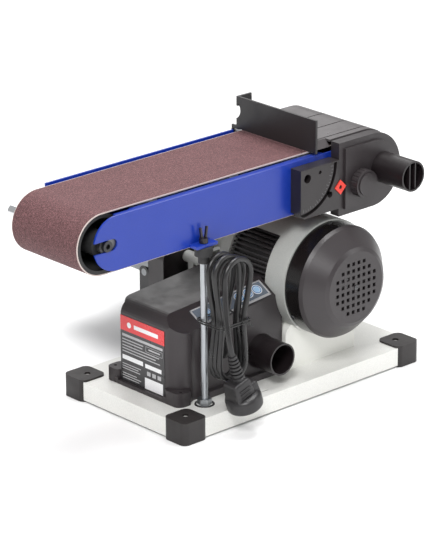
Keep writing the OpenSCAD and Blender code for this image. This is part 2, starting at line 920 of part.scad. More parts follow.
module table_brackets() color("#7f8285") {
    for (x = [tb_x0 + 1, tb_x1 - 5]) {
        difference() {
            translate([x, 0, 0]) rotate([90, 0, 90]) linear_extrude(4) {
                rect(shroud_y1, 121, 56, tb_pin_z);
                translate([tb_pin_y, tb_pin_z]) circle(7.2);
            }
            translate([x - 1, tb_pin_y, tb_pin_z]) rotate([0, 90, 0]) cylinder(h = 6, r = 4);
        }
    }
    for (x = [tb_x0 + 1, tb_x1 - 13]) bar(x, x + 12, shroud_y1, shroud_y1 + 3, 56, 92);
}

module table_top() color("#77797c") {
    difference() {
        union() {
            bar(tb_x0, tb_x1, tb_y0, tb_y1, table_z - tb_t, table_z);
            bar(motor_x - 76, motor_x + 76, 100, tb_y0 + eps, table_z - tb_t, table_z);
            // ribs and the two trunnion lugs
            for (x = [0, 60, 120]) bar(x - 2, x + 2, 130, 236, table_z - 14, table_z - tb_t + eps);
            for (x = [tb_x0 + 5.3, tb_x1 - 9.3]) lug(x);
        }
        // slot for the mitre gauge
        bar(tb_x0 - 1, tb_x1 + 1, slot_y - 8, slot_y + 8, table_z - 3.6, table_z + 1);
    }
    // pins in the brackets, the right one bored for the lock knob's screw
    translate([tb_x0 + 1, tb_pin_y, tb_pin_z]) rotate([0, 90, 0]) cylinder(h = 8.3, r = 3.95);
    translate([tb_x1 - 9.3, tb_pin_y, tb_pin_z]) rotate([0, 90, 0]) difference() {
        cylinder(h = 8.3, r = 3.95);
        translate([0, 0, 2.5]) cylinder(h = 7, r = 2 + fit);
    }
}

module lug(x) {
    translate([x, 0, 0]) rotate([90, 0, 90]) linear_extrude(4) union() {
        rect(tb_pin_y - 8, 146, tb_pin_z - 2, table_z - tb_t + eps);
        translate([tb_pin_y, tb_pin_z]) circle(8);
    }
}

module table_knob() color("#2a292c") {
    translate([tb_x1 + gap, tb_pin_y, tb_pin_z]) rotate([0, 90, 0]) difference() {
        cylinder(h = 10, r = 12);
        for (a = [0 : 60 : 300]) rotate([0, 0, a]) translate([14.4, 0, -1]) cylinder(h = 15, r = 4);
    }
    translate([tb_x1 - 5, tb_pin_y, tb_pin_z]) rotate([0, 90, 0]) cylinder(h = 6, r = 2);
}

module mitre_bar() color("#a4a7aa") {
    bar(20, 150, slot_y - 7.7, slot_y + 7.7, table_z - 3.3, table_z + 0.2);
    translate([84, slot_y, table_z]) cylinder(h = 14, r = 3);
}

module mitre_head() color("#2f3033") {
    difference() {
        union() {
            translate([84, slot_y, table_z + gap + 0.2]) cylinder(h = 4, r = 34);
            bar(48, 54, slot_y - 52, slot_y + 52, table_z + gap + 0.2, table_z + 30);
            translate([84, slot_y, table_z + 4]) cylinder(h = 5, r = 9);
        }
        bar(84 + 12, 130, slot_y - 50, slot_y + 50, table_z - 1, table_z + 40);
        translate([84, slot_y, table_z - 1]) cylinder(h = 30, r = 3 + fit);
    }
}

// ---------------------------------------------------------------- cord

function unit(v) = v / norm(v);
function tangent(p, i) = unit(p[min(i + 1, len(p) - 1)] - p[max(i - 1, 0)]);
function ring_side(t) = unit(cross(t, abs(t[2]) < 0.9 ? [0, 0, 1] : [1, 0, 0]));

// round tube along a list of points
module sweep(p, d, sides) {
    rings = [for (i = [0 : len(p) - 1]) let (t = tangent(p, i), s = ring_side(t), u = cross(t, s))
        for (k = [0 : sides - 1]) p[i] + d / 2 * (s * cos(360 * k / sides) + u * sin(360 * k / sides))];
    last = (len(p) - 1) * sides;
    polyhedron(rings, concat(
        [[for (k = [0 : sides - 1]) sides - 1 - k]],
        [for (i = [0 : len(p) - 2], k = [0 : sides - 1]) let (m = (k + 1) % sides)
            [i * sides + k, i * sides + m, (i + 1) * sides + m, (i + 1) * sides + k]],
        [[for (k = [0 : sides - 1]) last + k]]), convexity = 6);
}

module cord_gland() color("#1d1c1f") {
    difference() {
        union() {
            ycyl(gland_x, gland_z, -61, hs_y0, 6.5);
            translate([gland_x, -61, gland_z]) sphere(r = 5.4);
            translate([gland_x, -61, gland_z]) cylinder(h = boot_top - gland_z, r1 = 5.4, r2 = 4.1);
            ycyl(gland_x, gland_z, hs_y0 - eps, hs_y0 + 6, 4.5);
        }
        ycyl(gland_x, gland_z, hs_y0 - 2, hs_y0 + 8, 2.5);
        translate([gland_x, -61, boot_top - 3]) cylinder(h = 5, r = cord_d / 2 + eps);
    }
}

module mains_cord() color("#1d1c1f") {
    sweep(LEAD_PTS, cord_d, 12);
    sweep(TAIL_PTS, cord_d, 12);
}

module cord_hank() color("#1d1c1f") {
    yprism(hank_y0, hank_y1)
        round_rect(hank_x - hank_hw, hank_x + hank_hw, hank_z0, hank_z1, hank_hw - eps);
}

module plug() color("#29282b") {
    translate(plug_at) rotate([0, plug_tilt, 0]) {
        cylinder(h = 15, r = 19);
        translate([0, 0, 15 - eps]) cylinder(h = 14, r1 = 18, r2 = 10);
        translate([0, 0, 29 - 2 * eps]) cylinder(h = 8, r = 9.5);
        translate([0, 0, 37 - 3 * eps]) cylinder(h = 25, r1 = 8, r2 = 4.5);
    }
}

module hank_tie() color("#161618") {
    difference() {
        yprism(hank_y0 - 1.5, hank_y0 + 40) rect(hank_x - hank_hw - 2, hank_x + hank_hw + 2, 112, 114);
        bar(hank_x - hank_hw - 0.5, hank_x + hank_hw + 0.5, hank_y0, hank_y0 + 38.5, 100, 120);
    }
}

base_tray();
foot_caps();
motor_frame();
stator();
end_shield();
fan_cowl();
case_screws();
motor_bearings();
drive_casting();
disc_shroud();
housing();
lower_dust_port();
dust_duct();
rating_label();
bevel_label();
switch_plate();
start_button();
stop_button();
support_post();
post_nuts();
rest_bumper();
table_brackets();
cord_gland();
mains_cord();
cord_hank();
plug();
hank_tie();
drive_belt();
motor_shaft();
rotor_core();
cooling_fan();
motor_pulley();
disc_plate();
disc_abrasive();
side_plate_near();
side_plate_far();
platen();
near_bracket();
far_bracket();
angle_pointer();
drum_guard();
guard_side_cover();
belt_dust_port();
drum_bearings();
sanding_belt();
work_stop();
arm_screws();
wing_screw();
guard_knob();
drive_drum();
drum_pulley();
idler_yoke();
idler_drum();
idler_axle();
tracking_knob();
tension_lever();
table_top();
table_knob();
mitre_bar();
mitre_head();
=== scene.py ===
import json
import math

import bmesh
import bpy
from mathutils import Matrix, Vector

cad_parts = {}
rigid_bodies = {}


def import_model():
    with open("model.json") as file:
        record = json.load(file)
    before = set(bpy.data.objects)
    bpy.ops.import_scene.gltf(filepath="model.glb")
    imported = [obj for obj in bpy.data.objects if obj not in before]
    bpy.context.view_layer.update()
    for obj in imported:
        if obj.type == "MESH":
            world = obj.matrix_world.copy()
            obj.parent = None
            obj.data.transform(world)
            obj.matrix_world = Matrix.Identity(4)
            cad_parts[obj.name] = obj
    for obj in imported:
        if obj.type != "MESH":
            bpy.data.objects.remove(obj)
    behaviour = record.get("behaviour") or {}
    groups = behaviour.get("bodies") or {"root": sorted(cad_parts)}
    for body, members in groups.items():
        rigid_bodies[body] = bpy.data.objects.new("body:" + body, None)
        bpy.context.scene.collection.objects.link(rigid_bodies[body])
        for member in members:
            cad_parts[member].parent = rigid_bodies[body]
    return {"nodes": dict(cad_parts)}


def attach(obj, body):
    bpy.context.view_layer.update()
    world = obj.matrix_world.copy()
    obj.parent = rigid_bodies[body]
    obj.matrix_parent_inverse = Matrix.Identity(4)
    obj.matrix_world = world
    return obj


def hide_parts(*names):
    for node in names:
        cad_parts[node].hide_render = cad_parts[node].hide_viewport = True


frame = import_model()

NODES = frame["nodes"]
for extra in [o for o in bpy.data.objects if o.name in ("Cube", "Light", "Camera")]:
    bpy.data.objects.remove(extra, do_unlink=True)
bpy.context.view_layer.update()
scene = bpy.context.scene
MM = 0.001

# places in the frame, in millimetres
POST_X, POST_Y, TRAY_TOP = -114, -64, 22
MOTOR_X, MOTOR_Z = 60, 116
BRACKET_FACE_Y = -73


def mm(*p):
    return Vector(p) * MM


# ------------------------------------------------------------ camera and stage

AZIMUTH, ELEVATION, ROLL = -42.46, 20.4, -0.25
DISTANCE = 3.2279
TARGET = mm(-41.69, -5.43, 135.19)
LENS, SENSOR = 208.8, 36.0


def add_camera():
    a, e = math.radians(AZIMUTH), math.radians(ELEVATION)
    back = Vector((math.sin(a) * math.cos(e), -math.cos(a) * math.cos(e), math.sin(e)))
    right = Vector((0, 0, 1)).cross(back).normalized()
    up = back.cross(right)
    r = math.radians(ROLL)
    right, up = math.cos(r) * right + math.sin(r) * up, math.cos(r) * up - math.sin(r) * right
    data = bpy.data.cameras.new("camera")
    data.lens = LENS
    data.sensor_fit = "VERTICAL"
    data.sensor_height = SENSOR
    data.clip_end = 20
    cam = bpy.data.objects.new("camera", data)
    scene.collection.objects.link(cam)
    m = Matrix((right, up, back)).transposed().to_4x4()
    m.translation = TARGET + back * DISTANCE
    cam.matrix_world = m
    scene.camera = cam


add_camera()

# ------------------------------------------------------------ node materials


class Mat:
    """A Principled material with small helpers for procedural detail."""

    def __init__(self, name, rough=0.5, metallic=0.0, **sockets):
        self.m = bpy.data.materials.new(name)
        self.m.use_nodes = True
        self.t = self.m.node_tree
        self.b = self.t.nodes["Principled BSDF"]
        self.b.inputs["Roughness"].default_value = rough
        self.b.inputs["Metallic"].default_value = metallic
        for k, v in sockets.items():
            self.b.inputs[k.replace("_", " ")].default_value = v
        self.co = self.t.nodes.new("ShaderNodeTexCoord").outputs["Object"]
        self.normal = None

    def new(self, kind, **attrs):
        n = self.t.nodes.new("ShaderNode" + kind)
        for k, v in attrs.items():
            setattr(n, k, v)
        return n

    def link(self, a, b):
        self.t.links.new(a, b)

    def noise(self, scale, detail=3.0, rough=0.5, stretch=None, distort=0.0):
        n = self.new("TexNoise")
        n.inputs["Scale"].default_value = scale
        n.inputs["Detail"].default_value = detail
        n.inputs["Roughness"].default_value = rough
        n.inputs["Distortion"].default_value = distort
        co = self.co
        if stretch:
            mp = self.new("Mapping")
            mp.inputs["Scale"].default_value = stretch
            self.link(self.co, mp.inputs["Vector"])
            co = mp.outputs["Vector"]
        self.link(co, n.inputs["Vector"])
        return n.outputs["Fac"]

    def cells(self, scale):
        n = self.new("TexVoronoi")
        n.inputs["Scale"].default_value = scale
        self.link(self.co, n.inputs["Vector"])
        return n

    def ramp(self, fac, stops):
        n = self.new("ValToRGB")
        e = n.color_ramp.elements
        while len(e) < len(stops):
            e.new(0.5)
        for el, (pos, col) in zip(e, stops):
            el.position = pos
            el.color = (*col, 1)
        self.link(fac, n.inputs["Fac"])
        return n.outputs["Color"]

    def remap(self, fac, lo, hi, f0=0.3, f1=0.7):
        n = self.new("MapRange")
        n.inputs["From Min"].default_value = f0
        n.inputs["From Max"].default_value = f1
        n.inputs["To Min"].default_value = lo
        n.inputs["To Max"].default_value = hi
        self.link(fac, n.inputs["Value"])
        return n.outputs["Result"]

    def mix(self, fac, a, b, mode="MIX"):
        n = self.new("Mix", data_type="RGBA", blend_type=mode)
        for value, name in ((fac, "Factor"), (a, "A"), (b, "B")):
            kind = "VALUE" if name == "Factor" else "RGBA"
            sock = next(s for s in n.inputs if s.name == name and s.type == kind)
            if hasattr(value, "node"):
                self.link(value, sock)
            elif name == "Factor":
                sock.default_value = value
            else:
                sock.default_value = (*value, 1)
        return next(s for s in n.outputs if s.type == "RGBA")

    def color(self, out):
        self.link(out, self.b.inputs["Base Color"])
        return self

    def rough(self, out):
        self.link(out, self.b.inputs["Roughness"])
        return self

    def bump(self, fac, depth, strength=1.0):
        n = self.new("Bump")
        n.inputs["Strength"].default_value = strength
        n.inputs["Distance"].default_value = depth
        self.link(fac, n.inputs["Height"])
        if self.normal:
            self.link(self.normal, n.inputs["Normal"])
        self.normal = n.outputs["Normal"]
        self.link(self.normal, self.b.inputs["Normal"])
        return self


def shade(c, k):
    return tuple(min(1.0, x * k) for x in c)


def dusted(m, base, spread=0.1, dust=(0.42, 0.4, 0.38), amount=0.015, big=14):
    """Base colour with slow tone drift, fine speckle and a breath of dust on faces that look up."""
    slow = m.ramp(m.noise(big, 4), [(0.35, shade(base, 1 - spread)),
                                    (0.65, shade(base, 1 + spread))])
    fine = m.ramp(m.noise(900, 2), [(0.3, (0.9, 0.9, 0.9)), (0.7, (1.1, 1.1, 1.1))])
    col = m.mix(0.6, slow, fine, "MULTIPLY")
    sep = m.new("SeparateXYZ")
    m.link(m.new("NewGeometry").outputs["Normal"], sep.inputs["Vector"])
    up = m.remap(sep.outputs["Z"], 0.0, amount, 0.4, 1.0)
    patch = m.remap(m.noise(35, 5, 0.65), 0.3, 1.0)
    f = m.new("Math", operation="MULTIPLY")
    m.link(up, f.inputs[0])
    m.link(patch, f.inputs[1])
    return m.color(m.mix(f.outputs[0], col, dust))


def powder(name, base, rough=0.42, grain=420, depth=0.00012, **kw):
    m = Mat(name, rough, **kw)
    dusted(m, base, 0.03)
    m.rough(m.remap(m.noise(60, 4), rough - 0.05, rough + 0.07))
    m.bump(m.noise(grain, 2, 0.4), depth, 0.5)
    return m


def plastic(name, base, rough=0.5, grain=1500, depth=0.00006, amount=0.02, **kw):
    m = Mat(name, rough, **kw)
    dusted(m, base, 0.07, amount=amount)
    m.rough(m.remap(m.noise(45, 5, 0.6), rough - 0.07, rough + 0.08))
    m.bump(m.cells(grain).outputs["Distance"], depth, 0.35)
    m.bump(m.noise(22, 2), 0.0002, 0.08)
    return m


def metal(name, base, rough, stretch=(1, 1, 1), scale=300, depth=0.00003, spread=0.14):
    m = Mat(name, rough, 1.0)
    streak = m.noise(scale, 4, 0.6, stretch)
    lines = m.ramp(streak, [(0.3, shade(base, 1 - spread)), (0.7, shade(base, 1 + spread))])
    tone = m.ramp(m.noise(30, 5), [(0.35, shade(base, 0.88)), (0.65, shade(base, 1.06))])
    m.color(m.mix(0.5, lines, tone))
    m.rough(m.remap(m.noise(90, 4, 0.6, stretch), rough * 0.8, rough * 1.3))
    m.bump(streak, depth, 0.4)
    return m


def grit(name, dark, light, edge_y=None):
    m = Mat(name, 0.78, Specular_IOR_Level=0.35)
    cell = m.cells(1500)
    grain = m.ramp(cell.outputs["Distance"], [(0.0, light), (0.35, shade(dark, 1.25)),
                                              (0.7, shade(dark, 0.6))])
    tone = m.ramp(m.noise(60, 5, 0.6), [(0.3, (0.9, 0.88, 0.88)), (0.7, (1.1, 1.08, 1.08))])
    clump = m.ramp(m.noise(480, 3, 0.7), [(0.32, (0.62, 0.6, 0.62)), (0.68, (1.35, 1.34, 1.36))])
    col = m.mix(0.9, m.mix(0.8, grain, tone, "MULTIPLY"), clump, "MULTIPLY")
    spark = m.remap(m.noise(1700, 2), 0, 1, 0.66, 0.72)
    col = m.mix(spark, col, shade(light, 1.9))
    if edge_y:
        # the bare cloth shows as a thin pale line along both edges
        sep = m.new("SeparateXYZ")
        m.link(m.co, sep.inputs["Vector"])
        absy = m.new("Math", operation="ABSOLUTE")
        m.link(sep.outputs["Y"], absy.inputs[0])
        wob = m.new("Math", operation="MULTIPLY_ADD")
        m.link(m.noise(150, 2), wob.inputs[0])
        wob.inputs[1].default_value = 0.0004
        m.link(absy.outputs[0], wob.inputs[2])
        line = m.remap(wob.outputs[0], 0, 1, edge_y - 0.0005, edge_y - 0.0003)
        col = m.mix(line, col, (0.55, 0.47, 0.44))
    m.color(col)
    m.rough(m.remap(m.noise(1400, 2), 0.6, 0.95))
    m.bump(cell.outputs["Distance"], 0.00025, 0.8)
    m.bump(m.noise(520, 3, 0.7), 0.0005, 0.7)
    return m


# the painted motor is off-white below its shell; the cowl's dark band is behind this plane
FOOT_PAINT_Z = (0.0718, 0.0724)
COWL_BAND_Y = (-0.0842, -0.0838)


def cast_frame(name):
    """Light grey paint on the motor, off-white where its foot stands on the base."""
    m = powder(name, (0.43, 0.44, 0.42), 0.4, 300, 0.0002)
    old = m.b.inputs["Base Color"].links[0].from_socket
    sep = m.new("SeparateXYZ")
    m.link(m.co, sep.inputs["Vector"])
    z = m.remap(sep.outputs["Z"], 1, 0, *FOOT_PAINT_Z)
    tone = m.ramp(m.noise(20, 3), [(0.3, (0.76, 0.765, 0.72)), (0.7, (0.8, 0.8, 0.76))])
    m.color(m.mix(z, old, tone))
    return m


def cowl_plastic(name):
    """Fan cowl: satin front, with a darker and glossier band round its rim."""
    m = plastic(name, (0.03, 0.025, 0.027), 0.36)
    old = m.b.inputs["Base Color"].links[0].from_socket
    sep = m.new("SeparateXYZ")
    m.link(m.co, sep.inputs["Vector"])
    band = m.remap(sep.outputs["Y"], 0, 1, *COWL_BAND_Y)
    m.color(m.mix(band, old, (0.006, 0.005, 0.005)))
    m.rough(m.remap(band, 0.36, 0.24, 0, 1))
    return m


M = {
    "base_paint": powder("base_paint", (0.72, 0.72, 0.69), 0.4, Coat_Weight=0.15),
    "grey_paint": powder("grey_paint", (0.45, 0.46, 0.44), 0.42, 300, 0.0002),
    "cast_paint": cast_frame("cast_paint"),
    "blue_paint": powder("blue_paint", (0.004, 0.03, 0.3), 0.34, 260, 0.00002, Coat_Weight=0.2,
                         Coat_Roughness=0.15, Specular_IOR_Level=0.4),
    "black_plastic": plastic("black_plastic", (0.027, 0.022, 0.024), 0.4),
    "black_gloss": plastic("black_gloss", (0.01, 0.007, 0.008), 0.34, amount=0.01),
    # drum guard hood: its black plastic is lightened well above the other blacks, a painted
    # highlight standing in for the light along its top
    "guard_plastic_painted_highlight": plastic("guard_plastic_painted_highlight", (0.075, 0.068, 0.07), 0.33),
    "bracket_plastic": plastic("bracket_plastic", (0.014, 0.011, 0.012), 0.36),
    "cowl_plastic": cowl_plastic("cowl_plastic"),
    "black_metal": powder("black_metal", (0.013, 0.012, 0.013), 0.4, 700, 0.00005),
    "fin_metal": powder("fin_metal", (0.028, 0.025, 0.027), 0.42, 500, 0.0001),
    "cap_rubber": plastic("cap_rubber", (0.016, 0.013, 0.013), 0.5, 900, 0.0001, 0.02),
    "rubber": plastic("rubber", (0.018, 0.018, 0.019), 0.62, 900, 0.0001),
    "cord_rubber": plastic("cord_rubber", (0.011, 0.0105, 0.011), 0.33, 700, 0.00005, 0.005),
    "plug_rubber": plastic("plug_rubber", (0.013, 0.012, 0.013), 0.42, 1200, 0.0001, 0.01),
    "zinc": metal("zinc", (0.42, 0.44, 0.46), 0.36, (1, 1, 0.05), 500),
    "steel": metal("steel", (0.46, 0.47, 0.48), 0.34, (1, 0.04, 1), 500),
    "dark_steel": metal("dark_steel", (0.16, 0.16, 0.165), 0.42),
    "axle_black": metal("axle_black", (0.07, 0.07, 0.075), 0.4),
    "chrome": metal("chrome", (0.78, 0.79, 0.81), 0.1, depth=0.00001, spread=0.05),
    "alloy": metal("alloy", (0.5, 0.51, 0.52), 0.4, (1, 1, 1), 400, 0.00008),
    "table_alloy": metal("table_alloy", (0.3, 0.31, 0.32), 0.52, (0.05, 1, 1), 600, 0.00004),
    "grit_belt": grit("grit_belt", (0.126, 0.06, 0.062), (0.27, 0.143, 0.148), 0.05),
    "grit_disc": grit("grit_disc", (0.11, 0.05, 0.042), (0.23, 0.12, 0.1)),
    "label": plastic("label", (0.026, 0.025, 0.027), 0.3, 2500, 0.00001, 0.02),
    "print_red": plastic("print_red", (0.66, 0.03, 0.035), 0.3, 2500, 0.00001, 0.02),
    "print_grey": plastic("print_grey", (0.4, 0.4, 0.41), 0.35, 2500, 0.00001, 0.02),
    "print_white": plastic("print_white", (0.78, 0.78, 0.79), 0.35, 2500, 0.00001, 0.02),
    "print_blue": plastic("print_blue", (0.1, 0.26, 0.5), 0.25, 2500, 0.00001, 0.02),
    "print_pale": plastic("print_pale", (0.36, 0.56, 0.78), 0.25, 2500, 0.00001, 0.02),
    "panel_blue": plastic("panel_blue", (0.13, 0.155, 0.19), 0.22, 2500, 0.00001, 0.02),
    "red_plastic": plastic("red_plastic", (0.7, 0.035, 0.02), 0.35, 900, 0.00005),
    "green_plastic": plastic("green_plastic", (0.04, 0.36, 0.11), 0.35, 900, 0.00005),
    "wire": plastic("wire", (0.014, 0.014, 0.014), 0.4, 900, 0.00005, 0.0),
}

LOOK = {
    "motor_frame": "cast_paint", "drive_casting": "grey_paint", "stator": "fin_metal",
    "fan_cowl": "cowl_plastic", "drum_guard": "guard_plastic_painted_highlight", "foot_caps": "cap_rubber",
    "idler_yoke": "dark_steel", "table_top": "table_alloy", "arm_screws": "dark_steel",
    "case_screws": "dark_steel", "drive_drum": "rubber", "idler_drum": "rubber",
    "bevel_label": "panel_blue", "idler_axle": "axle_black",
    "near_bracket": "bracket_plastic", "far_bracket": "bracket_plastic",
}

# bevels break the sharp edges of the carried-over nodes: width in millimetres
SOFT_EDGE = {
    "housing": 0.9, "fan_cowl": 0.5, "base_tray": 1.0, "foot_caps": 1.0, "drum_guard": 0.5,
    "guard_side_cover": 0.9, "near_bracket": 0.8, "far_bracket": 0.8, "disc_shroud": 0.8,
    "motor_frame": 0.8, "drive_casting": 0.6, "work_stop": 0.35, "side_plate_near": 0.7,
    "side_plate_far": 0.7, "lower_dust_port": 0.3, "belt_dust_port": 0.3, "table_top": 0.5,
    "mitre_head": 0.6, "tension_lever": 0.7, "guard_knob": 0.35, "table_knob": 0.6,
    "switch_plate": 0.4, "rest_bumper": 0.6, "post_nuts": 0.3, "wing_screw": 0.3,
    "tracking_knob": 0.3, "disc_plate": 0.4, "table_brackets": 0.3, "start_button": 0.5,
    "stop_button": 0.5, "dust_duct": 0.3, "angle_pointer": 0.2, "mitre_bar": 0.3,
}


def soften(obj, width):
    flat = obj.modifiers.new("flat", "DECIMATE")
    flat.decimate_type = "DISSOLVE"
    flat.angle_limit = math.radians(0.4)
    bev = obj.modifiers.new("edge", "BEVEL")
    bev.width = width * MM
    bev.segments = 2
    bev.limit_method = "ANGLE"
    bev.angle_limit = math.radians(35)
    bev.use_clamp_overlap = True
    bev.harden_normals = True
    bev.miter_outer = "MITER_ARC"


for name, obj in NODES.items():
    look = LOOK.get(name) or obj.material_slots[0].name.split(".")[0]
    for s in obj.material_slots:
        s.material = M[look].m
    if name in SOFT_EDGE:
        soften(obj, SOFT_EDGE[name])

# ------------------------------------------------------------ mesh tools


def add(name, mesh, mat, body="frame"):
    obj = bpy.data.objects.new(name, mesh)
    scene.collection.objects.link(obj)
    obj.data.materials.append(M[mat].m)
    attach(obj, body)
    return obj


def finish_mesh(bm, name, smooth=40):
    bmesh.ops.recalc_face_normals(bm, faces=bm.faces)
    limit = math.radians(smooth)
    for e in bm.edges:
        e.smooth = len(e.link_faces) == 2 and e.calc_face_angle(0) < limit
    for f in bm.faces:
        f.smooth = True
    mesh = bpy.data.meshes.new(name)
    bm.to_mesh(mesh)
    bm.free()
    return mesh


def lathe_bm(profile, seg=48, bm=None, place=Matrix()):
    """Closed solid of revolution about local Z from (radius, height) pairs in millimetres."""
    bm = bm or bmesh.new()
    rings = []
    for r, z in profile:
        if r < 1e-6:
            rings.append([bm.verts.new(place @ mm(0, 0, z))])
        else:
            rings.append([bm.verts.new(place @ mm(r * math.cos(2 * math.pi * k / seg),
                                                  r * math.sin(2 * math.pi * k / seg), z))
                          for k in range(seg)])
    for a, b in zip(rings, rings[1:]):
        for k in range(seg):
            j = (k + 1) % seg
            quad = [a[k % len(a)], a[j % len(a)], b[j % len(b)], b[k % len(b)]]
            quad = [v for i, v in enumerate(quad) if v not in quad[:i]]
            if len(quad) > 2:
                bm.faces.new(quad)
    return bm


def block_bm(x, y, z, bevel=0.5, bm=None, place=Matrix(), taper=1.0, segments=2):
    """Box between (x0, x1), (y0, y1), (z0, z1) in millimetres with rounded edges."""
    bm = bm or bmesh.new()
    vs = bmesh.ops.create_cube(bm, size=1)["verts"]
    cx, cy, cz = (sum(x) / 2, sum(y) / 2, sum(z) / 2)
    for v in vs:
        k = taper if v.co.z > 0 else 1.0
        v.co = mm(cx + v.co.x * (x[1] - x[0]) * k, cy + v.co.y * (y[1] - y[0]) * k,
                  cz + v.co.z * (z[1] - z[0]))
    edges = list({e for v in vs for e in v.link_edges})
    out = bmesh.ops.bevel(bm, geom=edges, offset=bevel * MM, segments=segments, affect="EDGES",
                          profile=0.5)
    done = {v for v in vs if v.is_valid} | set(out["verts"])
    for v in done:
        v.co = place @ v.co
    return bm


def tube(name, points, radius, mat, body="frame", cyclic=False, sides=6, taper=None):
    cu = bpy.data.curves.new(name, "CURVE")
    cu.dimensions = "3D"
    cu.bevel_depth = radius * MM
    cu.bevel_resolution = sides
    cu.use_fill_caps = True
    sp = cu.splines.new("POLY")
    sp.points.add(len(points) - 1)
    for k, (pt, p) in enumerate(zip(sp.points, points)):
        pt.co = (*(Vector(p) * MM), 1)
        if taper:
            pt.radius = taper[k]
    sp.use_cyclic_u = cyclic
    sp.use_smooth = True
    return add(name, cu, mat, body)


def hermite(p0, t0, p1, t1, n):
    p0, t0, p1, t1 = map(Vector, (p0, t0, p1, t1))
    out = []
    for k in range(n + 1):
        s = k / n
        out.append((2 * s**3 - 3 * s**2 + 1) * p0 + (s**3 - 2 * s**2 + s) * t0
                   + (3 * s**2 - 2 * s**3) * p1 + (s**3 - s**2) * t1)
    return out


# ------------------------------------------------------------ mains cord

CORD_D = 6.0
HANK_X, HANK_R = -97.0, 18.0
HANK_BOT, HANK_TOP = 71.0, 165.0
HANK_Y, PITCH, TURNS = -72.0, 6.3, 3
TURN_LEAN = (-2.5, 4.5, -4.0, 3.5, -3.0)
TURN_SHIFT = (0.0, 2.6, -2.2, 1.6, -0.5)
TURN_LIFT = (0.0, -3.5, 1.5, -2.0, 1.0)
# the gland goes through the housing's wall, and its sleeve turns up to the cord's exit
GLAND_X, GLAND_Z, WALL_Y = -82, 66, -51
SLEEVE_Y, SLEEVE_TURN = -55, 6
CORD_EXIT = (GLAND_X, SLEEVE_Y - SLEEVE_TURN, 92)
PLUG_AT, PLUG_TILT = (-97, -107, 28), -17
PLUG_L = 62
TIE_Z = 113
# the tie's box round the post and the hank, the radius of its corners and its wire's radius
TIE_X, TIE_Y = (-119.6, -77.6), (-95.9, -56.9)
TIE_CORNER, TIE_WIRE = 5.5, 0.8


def eased(values, at):
    """Value of a list at a fractional index, easing from one entry to the next."""
    i = min(int(at), len(values) - 2)
    f = at - i
    f = f * f * (3 - 2 * f)
    return values[i] * (1 - f) + values[i + 1] * f


def pinch(p, turn_no):
    """Each loop leans and shifts a little, and all are drawn in at the tie."""
    lean = math.radians(eased(TURN_LEAN, turn_no))
    mid = (HANK_BOT + HANK_TOP) / 2
    x, z = p[0] - HANK_X, p[2] - mid
    x, z = x * math.cos(lean) + z * math.sin(lean), z * math.cos(lean) - x * math.sin(lean)
    x += eased(TURN_SHIFT, turn_no)
    z += mid + eased(TURN_LIFT, turn_no)
    k = 1 - 0.3 * math.exp(-(((z - TIE_Z) / 27) ** 2))
    return (HANK_X + x * k, p[1], z)


def hank_points():
    straight = HANK_TOP - HANK_BOT
    turn = 2 * straight + 2 * math.pi * HANK_R
    raw = []
    for n in range(TURNS + 1):
        for k in range(13):
            a = math.pi * k / 12
            raw.append((math.pi * HANK_R * k / 12 + n * turn, HANK_X + HANK_R * math.cos(a),
                        HANK_TOP + HANK_R * math.sin(a)))
        if n == TURNS:
            break
        for k in range(1, 8):
            raw.append((math.pi * HANK_R + straight * k / 8 + n * turn, HANK_X - HANK_R,
                        HANK_TOP - straight * k / 8))
        for k in range(13):
            a = math.pi * (1 + k / 12)
            raw.append((math.pi * HANK_R + straight + math.pi * HANK_R * k / 12 + n * turn,
                        HANK_X + HANK_R * math.cos(a), HANK_BOT + HANK_R * math.sin(a)))
        for k in range(1, 8):
            raw.append((2 * math.pi * HANK_R + straight + straight * k / 8 + n * turn,
                        HANK_X + HANK_R, HANK_BOT + straight * k / 8))
    return [pinch((x, HANK_Y - PITCH * s / turn, z), s / turn) for s, x, z in raw]


def cord_route():
    hank = hank_points()
    lean = math.radians(PLUG_TILT)
    axis = Vector((math.sin(lean), 0, math.cos(lean)))
    end = Vector(PLUG_AT) + axis * PLUG_L
    lead = hermite(CORD_EXIT, (0, 0, 75), hank[0], (0, 0, 75), 18)
    tail = hermite(hank[-1], (0, 0, -80), end, -axis * 70, 22)
    return lead[:-1] + hank + tail[1:]


route = cord_route()
cord = tube("mains_cord_run", route, CORD_D / 2, "cord_rubber")
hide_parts("mains_cord", "cord_hank")


def plug_place():
    return Matrix.Translation(mm(*PLUG_AT)) @ Matrix.Rotation(math.radians(PLUG_TILT), 4, "Y")


def make_plug():
    place = plug_place()
    bm = lathe_bm([(0, 0.6), (15.2, 0.6), (15.2, 0), (17.6, 0), (18.7, 1.2), (19, 3), (19, 11.5),
                   (18.3, 13.6), (16.6, 15), (12, 16.2), (0, 16.2)], 64, None, place)
    body = add("plug_body", finish_mesh(bm, "plug_body"), "plug_rubber")
    bm = block_bm((-15.5, 9.5), (-11.5, 11.5), (9, 34), 2.6, None, place, 0.86, 4)
    block_bm((4, 17.5), (-9.5, 9.5), (10, 24.5), 2.2, bm, place, 0.9, 4)
    for s in (-1, 1):
        for k in range(4):
            z = 13 + 4 * k
            y = sorted((s * 10.7, s * (12.1 - 0.35 * k)))
            block_bm((-10, 4), y, (z, z + 1.9), 0.5, bm, place)
    grip = add("plug_grip", finish_mesh(bm, "plug_grip"), "plug_rubber")
    prof = [(0, 30), (7.6, 30), (7.4, 37)]
    for k in range(6):
        z, r = 38 + k * 4, 6.9 - 0.42 * k
        prof += [(r - 1.5, z), (r - 1.6, z + 1.5), (r, z + 1.6), (r - 0.1, z + 3.9)]
    prof += [(4.4, PLUG_L), (0, PLUG_L)]
    relief = add("plug_relief", finish_mesh(lathe_bm(prof, 32, None, place), "plug_relief"),
                 "plug_rubber")
    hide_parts("plug")
    return body, grip, relief


plug_parts = make_plug()


